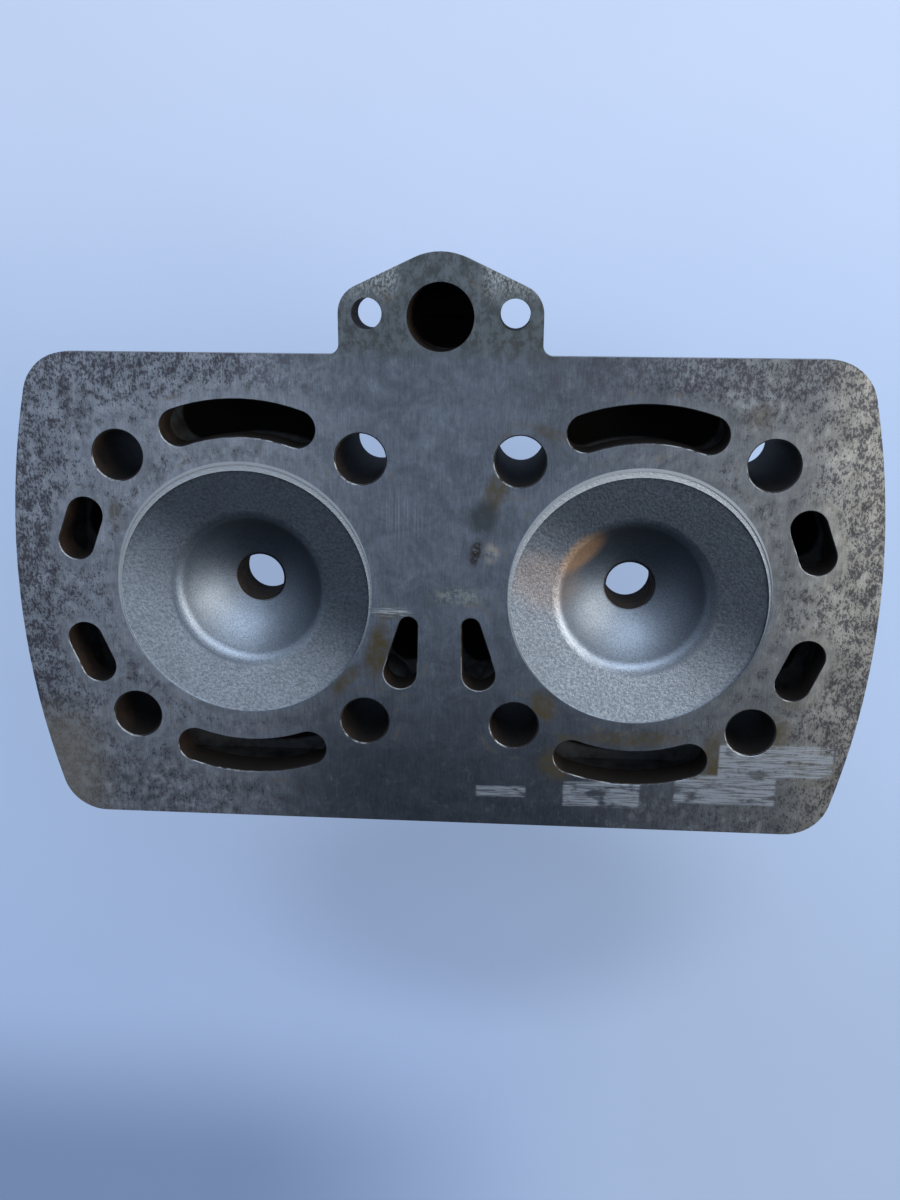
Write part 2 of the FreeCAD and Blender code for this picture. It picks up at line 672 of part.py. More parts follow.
def wax_capsule():
    """Brass capsule, open at its outer end for the piston pin."""
    bottom = FLANGE_FLOOR - VALVE_SEAL_T - VALVE_DISC_T
    collar = cyl(CAPSULE_COLLAR_R, bottom, bottom - CAPSULE_COLLAR_T)
    top = bottom - CAPSULE_LENGTH
    barrel = cyl(CAPSULE_R, bottom, top)
    barrel = barrel.makeFillet(CAPSULE_EDGE_R, edges_at(barrel, lambda e: level(e, top)))
    bore = cyl(PIN_R + PIN_GAP, bottom + CUT_OVER, bottom - PIN_DEPTH_IN_CAPSULE - PIN_GAP)
    return fuse([collar, barrel]).cut(bore)


def piston_pin():
    """Polished pin that stands on the bridge and reaches down into the capsule."""
    bridge = FLANGE_FLOOR + FLANGE_T + BRIDGE_HEIGHT
    tip = FLANGE_FLOOR - VALVE_SEAL_T - VALVE_DISC_T - PIN_DEPTH_IN_CAPSULE
    pin = cyl(PIN_R, bridge, tip)
    return pin.makeChamfer(PIN_TIP_CHAMFER, edges_at(pin, lambda e: level(e, tip)))


def thermostat_spring():
    """Coil between the valve disc and the ring of the stirrup."""
    start = FLANGE_FLOOR - VALVE_SEAL_T - VALVE_DISC_T - SPRING_WIRE_R
    end = FLANGE_FLOOR - STIRRUP_HEIGHT + STIRRUP_T + SPRING_WIRE_R
    height = start - end
    path = Part.makeHelix(height / SPRING_TURNS, height, SPRING_MEAN_R)
    outer = V(SPRING_MEAN_R + SPRING_WIRE_R, 0, 0)
    inner = V(SPRING_MEAN_R - SPRING_WIRE_R, 0, 0)
    rise = V(0, 0, SPRING_WIRE_R)
    middle = (outer + inner) / 2
    section = Part.Wire([
        Part.Arc(outer, middle + rise, inner).toShape(),
        Part.Arc(inner, middle - rise, outer).toShape(),
    ])
    coil = Part.Wire(path.Edges).makePipeShell([section], True, True)
    coil.translate(V(0, 0, -start))
    return coil


def jiggle_pin():
    """Loose rivet hanging in its hole by its inner head."""
    inner = FLANGE_FLOOR - JIGGLE_HEAD_T
    outer = FLANGE_FLOOR + FLANGE_T + JIGGLE_FREE
    return fuse([
        cyl(JIGGLE_HEAD_R, FLANGE_FLOOR, inner, JIGGLE_X, 0),
        cyl(JIGGLE_SHANK_R, outer, FLANGE_FLOOR, JIGGLE_X, 0),
        cyl(JIGGLE_HEAD_R, outer + JIGGLE_HEAD_T, outer, JIGGLE_X, 0),
    ])


def sender_washer():
    return ring(COPPER_R, SENDER_R + THREAD_GAP, PORT_FACE_DEPTH + COPPER_T, PORT_FACE_DEPTH,
                0, SENDER_Y)


def sender_body():
    seat = PORT_FACE_DEPTH + COPPER_T
    shank = cyl(SENDER_R, seat, DECK_INNER_DEPTH, 0, SENDER_Y)
    probe = cyl(SENDER_PROBE_R, DECK_INNER_DEPTH, SENDER_PROBE_TIP, 0, SENDER_Y)
    tip = edges_at(probe, lambda e: level(e, SENDER_PROBE_TIP))
    probe = probe.makeFillet(SENDER_PROBE_EDGE_R, tip)
    head = hex_head(SENDER_HEX_AF, seat + SENDER_HEX_H, seat, 0, SENDER_Y)
    return fuse([shank, probe, head])


def sender_insulator():
    base = PORT_FACE_DEPTH + COPPER_T + SENDER_HEX_H
    plug = cyl(INSULATOR_R, base + INSULATOR_H, base, 0, SENDER_Y)
    rim = edges_at(plug, lambda e: level(e, base + INSULATOR_H))
    return plug.makeFillet(INSULATOR_EDGE_R, rim)


def sender_terminal():
    base = PORT_FACE_DEPTH + COPPER_T + SENDER_HEX_H + INSULATOR_H
    blade = box(-BLADE_W / 2, BLADE_W / 2, SENDER_Y - BLADE_T / 2, SENDER_Y + BLADE_T / 2,
                base + BLADE_L, base)
    hole = cyl_y(BLADE_HOLE_R, SENDER_Y - BLADE_T, SENDER_Y + BLADE_T, base + BLADE_HOLE_UP)
    return blade.cut(hole)


def blanking_washer():
    return ring(BLANK_WASHER_R, BLANK_R + THREAD_GAP, PORT_FACE_DEPTH + COPPER_T, PORT_FACE_DEPTH,
                BLANK_X, BLANK_Y)


def blanking_plug():
    seat = PORT_FACE_DEPTH + COPPER_T
    top = seat + BLANK_HEX_H
    shank = cyl(BLANK_R, seat, DECK_INNER_DEPTH, BLANK_X, BLANK_Y)
    head = hex_head(BLANK_HEX_AF, top, seat, BLANK_X, BLANK_Y)
    socket = hexagon(BLANK_SOCKET_AF, top + CUT_OVER, top - BLANK_SOCKET_DEPTH, BLANK_X, BLANK_Y)
    return shank.fuse(head).cut(socket)


def bleed_seat_y():
    return -COVER_DOME_R - BLEED_BOSS_REACH


def on_bleed_axis(shape):
    """Turn a piece built upright at the origin onto the bleed screw's axis."""
    shape.rotate(V(0, 0, 0), V(1, 0, 0), -90)
    shape.translate(V(0, bleed_seat_y(), -NECK_DEPTH))
    return shape


def bleed_washer():
    return on_bleed_axis(ring(BLEED_WASHER_R, BLEED_R + THREAD_GAP, BLEED_WASHER_T, 0))


def bleed_screw():
    """Hexagon screw whose tip stops short of the cover's inner wall."""
    reach = BLEED_BOSS_REACH + COVER_WALL - BLEED_TIP_GAP
    shank = cyl(BLEED_R, BLEED_WASHER_T, -reach)
    shank = shank.makeChamfer(BLEED_TIP_CHAMFER, edges_at(shank, lambda e: level(e, -reach)))
    head = hex_head(BLEED_HEX_AF, BLEED_WASHER_T + BLEED_HEX_H, BLEED_WASHER_T)
    return on_bleed_axis(shank.fuse(head))


PIECES = [
    head_casting,
    cover_gasket,
    thermostat_cover,
    cover_bolts,
    cover_spring_washers,
    cover_plain_washers,
    thermostat_frame,
    spring_stirrup,
    thermostat_seal_ring,
    valve_seal,
    valve_disc,
    wax_capsule,
    piston_pin,
    thermostat_spring,
    jiggle_pin,
    sender_body,
    sender_insulator,
    sender_terminal,
    sender_washer,
    blanking_plug,
    blanking_washer,
    bleed_screw,
    bleed_washer,
]

os.makedirs("parts", exist_ok=True)
for piece in PIECES:
    shape = piece()
    name = piece.__name__
    shape.exportStep(os.path.join("parts", name + ".step"))
    print(name, "solids", len(shape.Solids), "valid", shape.isValid(), "volume", round(shape.Volume, 1))
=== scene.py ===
import bpy
import math
from mathutils import Euler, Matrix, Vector


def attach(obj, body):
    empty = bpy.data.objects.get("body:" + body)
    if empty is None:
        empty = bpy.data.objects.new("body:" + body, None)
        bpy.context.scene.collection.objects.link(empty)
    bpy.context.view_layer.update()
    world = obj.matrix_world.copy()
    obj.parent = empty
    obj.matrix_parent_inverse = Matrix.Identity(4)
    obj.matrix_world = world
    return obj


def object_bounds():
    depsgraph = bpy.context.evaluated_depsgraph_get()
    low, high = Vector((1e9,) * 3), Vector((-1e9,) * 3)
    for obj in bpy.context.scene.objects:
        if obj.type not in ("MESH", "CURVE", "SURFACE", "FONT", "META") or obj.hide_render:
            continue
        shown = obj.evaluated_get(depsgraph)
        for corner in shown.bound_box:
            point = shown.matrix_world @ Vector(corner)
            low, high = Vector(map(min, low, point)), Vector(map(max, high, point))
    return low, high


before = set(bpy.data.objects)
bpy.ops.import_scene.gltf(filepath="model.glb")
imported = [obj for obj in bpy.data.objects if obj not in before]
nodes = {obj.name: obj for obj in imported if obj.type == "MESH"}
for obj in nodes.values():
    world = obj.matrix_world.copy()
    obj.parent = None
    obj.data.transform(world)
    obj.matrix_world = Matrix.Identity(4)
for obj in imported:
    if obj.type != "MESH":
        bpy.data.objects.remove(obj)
cad_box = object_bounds()

MM = 0.001

# Features of the gasket face, in millimetres, as the CAD part has them
CYLINDER_X = 50.0
STUD_X, STUD_Y, STUD_R = 30.43, 34.58, 6.3
REGISTER_R = 32.8
CHAMBER_X, CHAMBER_Y = 50.1, -0.9
LIP_R = 18.9
PLUG_X, PLUG_Y, PLUG_R = 48.95, 0.27, 6.32
PLUG_TOP, PLUG_FOOT, PLUG_PITCH = -14.0, -26.7, 1.25
PLUG_WELL_R = 13.0
PORT_Y, PORT_R = 68.52, 8.05
TAB_HOLE_X, TAB_HOLE_Y, TAB_HOLE_R = 17.58, 69.21, 3.65
FRONT_KIDNEY, REAR_KIDNEY = (44.2, 4.6), (45.6, 4.65)
KIDNEY_END = math.radians(19.5)
SIDE_SLOT_R = 4.5
FRONT_SLOT = ((90.1, 19.3), (92.9, 12.15))
REAR_SLOT = ((92.75, -13.9), (89.9, -21.05))
KEY_SLOT, KEY_SLOT_R = ((8.0, -8.1), (10.2, -20.95)), 3.4

# Heights below the face, also in millimetres
FACE_EDGE = -0.06
HOLE_EDGE = -0.32
REGISTER_STEP = -0.46
CHAMBER_BACK = -26.0
JACKET_ROOF = -27.0
OUTER_FACE = -30.0
STUD_BOSS_END = -41.7

# The camera and the table, in metres and degrees
VIEW_PLACE = (0.01985, 0.07867, 0.26622)
VIEW_TURN = (-16.571, 3.790, 0.346)
VIEW_LENS_MM = 33.0
TABLE_REACH = 6.0

# How much of the table's paint shows as an even tone, the rest taking the light and the shadow
GLOW_SHARE = 0.7


def rgb(red, green, blue):
    """A colour written as 0-255 screen values, as the linear numbers that shaders take."""
    parts = [c / 255 for c in (red, green, blue)]
    return tuple(c / 12.92 if c <= 0.04045 else ((c + 0.055) / 1.055) ** 2.4 for c in parts) + (1.0,)


class Field:
    """A number that varies over the surface, with ordinary arithmetic."""

    def __init__(self, graph, socket):
        self.graph = graph
        self.socket = socket

    def __add__(self, other):
        return self.graph.math("ADD", self, other)

    def __sub__(self, other):
        return self.graph.math("SUBTRACT", self, other)

    def __rsub__(self, other):
        return self.graph.math("SUBTRACT", other, self)

    def __mul__(self, other):
        return self.graph.math("MULTIPLY", self, other)

    __radd__ = __add__

    def __truediv__(self, other):
        return self.graph.math("DIVIDE", self, other)

    def __abs__(self):
        return self.graph.math("ABSOLUTE", self)

    def least(self, other):
        return self.graph.math("MINIMUM", self, other)

    def most(self, other):
        return self.graph.math("MAXIMUM", self, other)

    def rises(self, low, high):
        """0 below low and 1 above high, smooth between; high below low makes it fall."""
        spread = self.graph.add("ShaderNodeMapRange", interpolation_type="SMOOTHSTEP")
        self.graph.put(spread.inputs["Value"], self)
        flip = high < low
        spread.inputs["From Min"].default_value = high if flip else low
        spread.inputs["From Max"].default_value = low if flip else high
        spread.inputs["To Min"].default_value = 1.0 if flip else 0.0
        spread.inputs["To Max"].default_value = 0.0 if flip else 1.0
        return Field(self.graph, spread.outputs["Result"])


class Graph:
    """One procedural material. Its lengths are millimetres in the part's own frame."""

    def __init__(self, name):
        self.material = bpy.data.materials.new(name)
        self.material.use_nodes = True
        self.tree = self.material.node_tree
        self.shader = self.tree.nodes["Principled BSDF"]
        place = self.add("ShaderNodeTexCoord").outputs["Object"]
        scaled = self.add("ShaderNodeVectorMath", operation="SCALE")
        scaled.inputs["Scale"].default_value = 1 / MM
        self.put(scaled.inputs[0], place)
        self.place = scaled.outputs[0]
        split = self.add("ShaderNodeSeparateXYZ")
        self.put(split.inputs[0], self.place)
        self.x, self.y, self.z = (Field(self, s) for s in split.outputs)

    def add(self, kind, **settings):
        node = self.tree.nodes.new(kind)
        for name, value in settings.items():
            setattr(node, name, value)
        return node

    def put(self, socket, value):
        """Links a field or an output to a socket, or sets the socket's own number."""
        if isinstance(value, Field):
            self.tree.links.new(value.socket, socket)
        elif isinstance(value, bpy.types.NodeSocket):
            self.tree.links.new(value, socket)
        else:
            socket.default_value = value

    def math(self, operation, *values):
        node = self.add("ShaderNodeMath", operation=operation)
        for socket, value in zip(node.inputs, values):
            self.put(socket, value)
        return Field(self, node.outputs[0])

    def far(self, u, v):
        """The length of the flat vector (u, v)."""
        return self.math("SQRT", u * u + v * v)

    def facing(self, x, y, z):
        """How far the surface faces the unit direction (x, y, z), from -1 to 1."""
        node = self.add("ShaderNodeVectorMath", operation="DOT_PRODUCT")
        self.put(node.inputs[0], self.add("ShaderNodeTexCoord").outputs["Normal"])
        node.inputs[1].default_value = (x, y, z)
        return Field(self, node.outputs["Value"])

    def noise(self, size, detail=3.0, rough=0.55, stretch=(1, 1, 1), shift=0.0, warp=0.0):
        """Cloudy noise from 0 to 1, whose features are about `size` mm, drawn out by stretch."""
        mapping = self.add("ShaderNodeMapping")
        self.put(mapping.inputs["Vector"], self.place)
        mapping.inputs["Location"].default_value = (shift, shift * 0.7, shift * 1.3)
        mapping.inputs["Scale"].default_value = tuple(1 / (size * s) for s in stretch)
        node = self.add("ShaderNodeTexNoise")
        self.put(node.inputs["Vector"], mapping.outputs[0])
        node.inputs["Scale"].default_value = 1.0
        node.inputs["Detail"].default_value = detail
        node.inputs["Roughness"].default_value = rough
        node.inputs["Distortion"].default_value = warp
        return Field(self, node.outputs["Fac"])

    def mix(self, share, first, second):
        """The first colour where share is 0, the second where it is 1."""
        node = self.add("ShaderNodeMix", data_type="RGBA")
        self.put(node.inputs[0], share)
        self.put(node.inputs[6], first)
        self.put(node.inputs[7], second)
        return node.outputs[2]

    def shade(self, colour, factor):
        """The colour times a field."""
        node = self.add("ShaderNodeMix", data_type="RGBA", blend_type="MULTIPLY")
        node.inputs[0].default_value = 1.0
        self.put(node.inputs[6], colour)
        self.put(node.inputs[7], factor)
        return node.outputs[2]

    def bump(self, height, depth):
        """Surface relief: height is 0 to 1, depth is the whole relief in mm."""
        node = self.add("ShaderNodeBump")
        node.inputs["Strength"].default_value = 1.0
        node.inputs["Distance"].default_value = depth * MM
        self.put(node.inputs["Height"], height)
        self.put(self.shader.inputs["Normal"], node.outputs["Normal"])

    def finish(self, colour, roughness, metallic):
        self.put(self.shader.inputs["Base Color"], colour)
        self.put(self.shader.inputs["Roughness"], roughness)
        self.put(self.shader.inputs["Metallic"], metallic)
        return self.material


# Distances on the gasket face, negative inside a hole, mirrored about the middle


def round_hole(g, u, v, x, y, radius):
    return g.far(u - x, v - y) - radius


def slot_hole(g, u, v, ends, radius):
    (ax, ay), (bx, by) = ends
    along = (u - ax) * (bx - ax) + (v - ay) * (by - ay)
    share = (along / ((bx - ax) ** 2 + (by - ay) ** 2)).most(0.0).least(1.0)
    return g.far(u - ax - share * (bx - ax), v - ay - share * (by - ay)) - radius


def kidney_hole(g, u, v, size):
    ring, half = size
    angle = g.math("ARCTAN2", u, v).most(-KIDNEY_END).least(KIDNEY_END)
    return g.far(u - g.math("SINE", angle) * ring, v - g.math("COSINE", angle) * ring) - half


def opening_distance(g):
    """Distance in mm from the nearest hole, slot or register on the gasket face."""
    side = abs(g.x)
    u, v = side - CYLINDER_X, g.y
    nearest = round_hole(g, abs(u), abs(v), STUD_X, STUD_Y, STUD_R)
    nearest = nearest.least(kidney_hole(g, u, v, FRONT_KIDNEY))
    nearest = nearest.least(kidney_hole(g, u, 0.0 - v, REAR_KIDNEY))
    nearest = nearest.least(slot_hole(g, side, g.y, FRONT_SLOT, SIDE_SLOT_R))
    nearest = nearest.least(slot_hole(g, side, g.y, REAR_SLOT, SIDE_SLOT_R))
    nearest = nearest.least(slot_hole(g, side, g.y, KEY_SLOT, KEY_SLOT_R))
    nearest = nearest.least(round_hole(g, side, g.y, TAB_HOLE_X, TAB_HOLE_Y, TAB_HOLE_R))
    nearest = nearest.least(round_hole(g, g.x, g.y, 0.0, PORT_Y, PORT_R))
    return nearest.least(round_hole(g, u, v, 0.0, 0.0, REGISTER_R))


def spot(g, x, y, reach_x, reach_y, turn=0.0):
    """1 in the middle of an ellipse on the face, falling to 0 at its rim."""
    c, s = math.cos(math.radians(turn)), math.sin(math.radians(turn))
    u = ((g.x - x) * c + (g.y - y) * s) / reach_x
    v = ((g.y - y) * c - (g.x - x) * s) / reach_y
    return g.far(u, v).rises(1.0, 0.35)


def patch(g, x0, x1, y0, y1):
    """1 inside a rectangle on the face, with narrow soft sides."""
    across = g.x.rises(x0 - 0.4, x0 + 0.4) * g.x.rises(x1 + 0.4, x1 - 0.4)
    return across * g.y.rises(y0 - 0.5, y0 + 0.5) * g.y.rises(y1 + 0.5, y1 - 0.5)


# Coolant stains: middle, half sizes, turn in degrees and depth
STAINS = (
    (-16.0, -15.0, 4.2, 10.0, -10, 1.0),
    (-24.5, -23.5, 7.5, 2.6, 48, 0.75),
    (-12.0, -5.5, 6.0, 1.6, 0, 0.5),
    (27.0, -29.0, 4.5, 6.0, 20, 0.95),
    (31.0, -45.0, 7.0, 6.0, -20, 0.95),
    (70.0, -44.0, 7.0, 6.0, 30, 0.95),
    (84.0, -36.0, 9.0, 8.0, 30, 0.95),
    (90.0, -24.0, 4.0, 6.0, 0, 0.5),
    (16.0, 36.0, 4.0, 8.0, 0, 0.4),
    (-82.0, 19.5, 2.6, 5.0, 0, 0.6),
    (76.0, 46.0, 5.0, 4.0, 30, 0.4),
    (98.0, -45.0, 8.0, 6.0, 0, 0.4),
    (-26.5, 70.0, 2.0, 9.0, 0, 0.6),
    (14.0, 27.0, 4.0, 9.0, -20, 0.8),
    (27.0, 41.5, 7.0, 2.0, -20, 0.5),
    (34.0, -38.5, 5.0, 2.5, -20, 0.7),
    (72.0, -37.0, 5.0, 3.0, 40, 0.7),
    (50.0, -37.3, 18.0, 3.0, 0, 0.7),
    (-24.0, -12.0, 1.8, 5.0, 20, 0.5),
)
# Scraped bands: left, right, rear and front edge
SCRAPES = ((73, 102, -47, -38), (62, 88, -55, -47), (33, 53, -57, -50), (10, 23, -55, -52))
SCRATCH = ((-74.0, -25.0), (-80.5, -32.5))


def face_tone_and_painted_reflection(g, cloud):
    """The broad tones of the face, its own tone with painted reflection: a pale left end, a bluer middle, a
    darker rear and a pale right end, painted as the bright and dark surroundings reflected, plus a painted
    shadow patch on the tab side.
    """
    # painted reflection: paler ends and a darker, bluer middle
    colour = g.mix(g.x.rises(-58, -8), rgb(128, 135, 146), rgb(90, 99, 112))
    colour = g.mix(g.x.rises(26, 92), colour, rgb(104, 108, 112))
    # painted shadow patch on the tab side
    shadow = abs(g.x - 34).rises(26, 8) * g.y.rises(20, 50)
    colour = g.mix(shadow * 0.5, colour, rgb(70, 76, 84))
    right_end = (g.x + cloud * 18).rises(93, 110)
    colour = g.mix(right_end, colour, rgb(142, 142, 138))
    rearward = g.y.rises(8, -58)
    middle = abs(g.x - 6).rises(72, 26)
    # painted reflection: the middle darkened towards the rear
    return g.mix(rearward * (middle * 0.56 + 0.32), colour, rgb(42, 50, 60))


def oxide(g, colour, gap, cloud, mottle, grain):
    """Oxide, pale flecks and dark specks: most at the outer edges, least in the middle and by the holes."""
    amount = (abs(g.x - 2).rises(22, 62) * 0.65 + 0.35) * (gap.rises(0.8, 4.5) * 0.7 + 0.3)
    at_edges = abs(g.x).rises(84, 108).most(g.y.rises(44, 58))
    dark = (mottle + cloud * 0.4).rises(0.66, 0.84)
    colour = g.mix(dark * amount * 0.5, colour, rgb(78, 79, 86))
    pale = (mottle - cloud * 0.35).rises(0.30, 0.08)
    colour = g.mix(pale * amount * 0.25, colour, rgb(168, 172, 174))
    specks = (grain + mottle * 0.6 + at_edges * 0.08).rises(0.83, 0.93)
    return g.mix(specks * amount * 0.8, colour, rgb(46, 45, 54))


def corner_and_tab(g, colour, mottle, grain):
    """A beige corner at the rear left, and a greener, speckled tab."""
    corner = g.x.rises(-84, -100) * g.y.rises(-26, -44)
    colour = g.mix(corner * 0.6, colour, rgb(126, 122, 114))
    tab = g.y.rises(57, 63) * abs(g.x).rises(34, 26)
    colour = g.mix(tab * 0.5, colour, rgb(80, 88, 87))
    dark = tab * (mottle + grain * 0.4).rises(0.62, 0.80)
    colour = g.mix(dark * 0.6, colour, rgb(48, 50, 50))
    pale = tab * g.y.rises(70, 78) * abs(g.x).rises(8, 12) * grain.rises(0.42, 0.6)
    return g.mix(pale * 0.6, colour, rgb(172, 178, 180))


def stains(g, colour, gap, mottle, blotches, ragged):
    """Brown traces round the holes, and coolant stains beside them."""
    trace = abs(gap + mottle * 1.6 - 3.6).rises(0.9, 0.2) * blotches.rises(0.5, 0.66)
    colour = g.mix(trace * 0.4, colour, rgb(96, 88, 72))
    for x, y, reach_x, reach_y, turn, depth in STAINS:
        ring = spot(g, x, y, reach_x, reach_y, turn)
        colour = g.mix(ring * (ragged * 0.6 + 0.4) * depth, colour, rgb(76, 68, 47))
    return colour


def middle_marks(g, colour, ragged):
    """Marks between the cylinders: an oval with a trail, a mottled band, strokes and milling lines."""
    oval = spot(g, 11.0, 20.5, 5.2, 6.4) * g.noise(2.0, detail=4, shift=31).rises(0.1, 0.5)
    colour = g.mix(oval * 0.85, colour, rgb(50, 57, 62))
    trail = spot(g, 9.0, 11.5, 2.0, 5.0, -12) * g.noise(1.2, detail=4, shift=33).rises(0.35, 0.55)
    colour = g.mix(trail * 0.9, colour, rgb(40, 33, 28))
    beige = spot(g, 13.0, 11.5, 2.6, 3.6) * ragged
    colour = g.mix(beige * 0.5, colour, rgb(168, 160, 146))
    band = spot(g, 5.0, 0.0, 9.0, 3.4) * g.noise(1.1, detail=4, rough=0.7, shift=35).rises(0.45, 0.58)
    colour = g.mix(band * 0.6, colour, rgb(134, 142, 136))
    strokes = g.noise(0.4, detail=3, stretch=(14, 1, 1), shift=37).rises(0.45, 0.6)
    colour = g.mix(spot(g, -12.5, -4.4, 7.0, 1.6) * strokes * 0.75, colour, rgb(172, 180, 186))
    lines = g.noise(0.5, detail=1, stretch=(1, 60, 1), shift=39).rises(0.5, 0.62)
    return g.mix(spot(g, -9.0, 20.0, 7.0, 8.0) * lines * 0.3, colour, rgb(140, 148, 158))


def bare_metal(g):
    """1 where the rear right edge is scraped bright, in bands of fine strokes."""
    strokes = g.noise(0.34, detail=3, rough=0.6, stretch=(22, 1, 1), shift=41).rises(0.40, 0.54)
    worn = g.noise(2.6, detail=3, stretch=(2.2, 1, 1), shift=43).rises(0.34, 0.50)
    bands = 0.0
    for band in SCRAPES:
        bands = patch(g, *band) + bands
    return bands.least(1.0) * (strokes * 0.8 + 0.2) * worn


def machined_face(g, gap):
    """Colour, roughness and relief of the worn, oxidised gasket face."""
    cloud = g.noise(22, detail=4, warp=0.6)
    blotches = g.noise(7.0, detail=5, rough=0.62, shift=13, warp=0.8)
    mottle = g.noise(2.4, detail=5, rough=0.68, stretch=(1, 1.4, 1), shift=7)
    ragged = g.noise(2.2, detail=5, rough=0.7, shift=21).rises(0.36, 0.60)
    grain = g.noise(0.55, detail=3, rough=0.7, stretch=(1, 1.8, 1), shift=3)
    streaks = g.noise(0.32, detail=2, stretch=(1, 14, 1), shift=11)

    colour = oxide(g, face_tone_and_painted_reflection(g, cloud), gap, cloud, mottle, grain)
    colour = g.shade(colour, grain.rises(0.25, 0.75) * 0.34 + 0.82)
    colour = g.shade(colour, blotches.rises(0.34, 0.66) * 0.34 + 0.84)
    colour = g.shade(colour, streaks.rises(0.3, 0.7) * 0.22 + 0.89)
    colour = corner_and_tab(g, colour, mottle, grain)
    colour = stains(g, colour, gap, mottle, blotches, ragged)
    colour = middle_marks(g, colour, ragged)
    scratch = slot_hole(g, g.x, g.y, SCRATCH, 0.1).rises(0.35, 0.0)
    colour = g.mix(scratch * 0.5, colour, rgb(56, 58, 64))
    bare = bare_metal(g)
    colour = g.mix(bare * 0.68, colour, rgb(178, 188, 200))

    # pale crescents just outside the two registers, on the tab side
    from_axis = g.far(abs(g.x) - CYLINDER_X, g.y)
    crescent = (from_axis - g.y.rises(-6, 34) * 0.7).rises(REGISTER_R + 0.12, REGISTER_R)
    colour = g.mix(crescent * g.y.rises(-8, 16) * 0.7, colour, rgb(164, 171, 178))

    roughness = 0.46 + mottle * 0.16 - bare * 0.12
    relief = grain * 0.5 + streaks * 0.3 + mottle * 0.2
    return colour, roughness, relief


def blasted_chamber(g):
    """Colour, roughness and relief of a chamber: coarser on the squish band, with painted shade at its
    upper right, painted light at its lower left and a painted warm reflection on the right chamber's upper
    left lip and band.
    """
    fine = g.noise(0.36, detail=3, rough=0.7, shift=51)
    coarse = g.noise(0.75, detail=4, rough=0.75, shift=53)
    cloudy = g.noise(7.0, detail=3, shift=55)
    band = g.far(abs(g.x) - CHAMBER_X, g.y - CHAMBER_Y).rises(LIP_R, LIP_R + 1.5)
    across = g.x - g.math("SIGN", g.x) * CYLINDER_X
    # painted light and shade: paler towards the lower left, darker towards the upper right
    painted_light_side = (across * -0.5 - g.y * 0.85).rises(-12, 21)
    pale = g.mix(band, rgb(122, 132, 144), rgb(148, 157, 167))
    colour = g.mix(painted_light_side, rgb(62, 70, 80), pale)
    # painted warm reflection on the right chamber's upper left lip and band
    painted_warm_reflection = spot(g, 36.0, 11.0, 9.0, 4.8, 46) * 0.55 + spot(g, 26.0, 4.0, 10.0, 13.0, 60) * 0.18
    colour = g.mix(painted_warm_reflection, colour, rgb(206, 164, 122))
    colour = g.shade(colour, cloudy * 0.3 + 0.84)
    pits = fine * (1.0 - band) + coarse * band
    colour = g.shade(colour, pits.rises(0.28, 0.68) * 0.6 + 0.62)
    relief = fine * 0.35 * (1.0 - band) + coarse * band
    return colour, 0.42 + fine * 0.1, relief


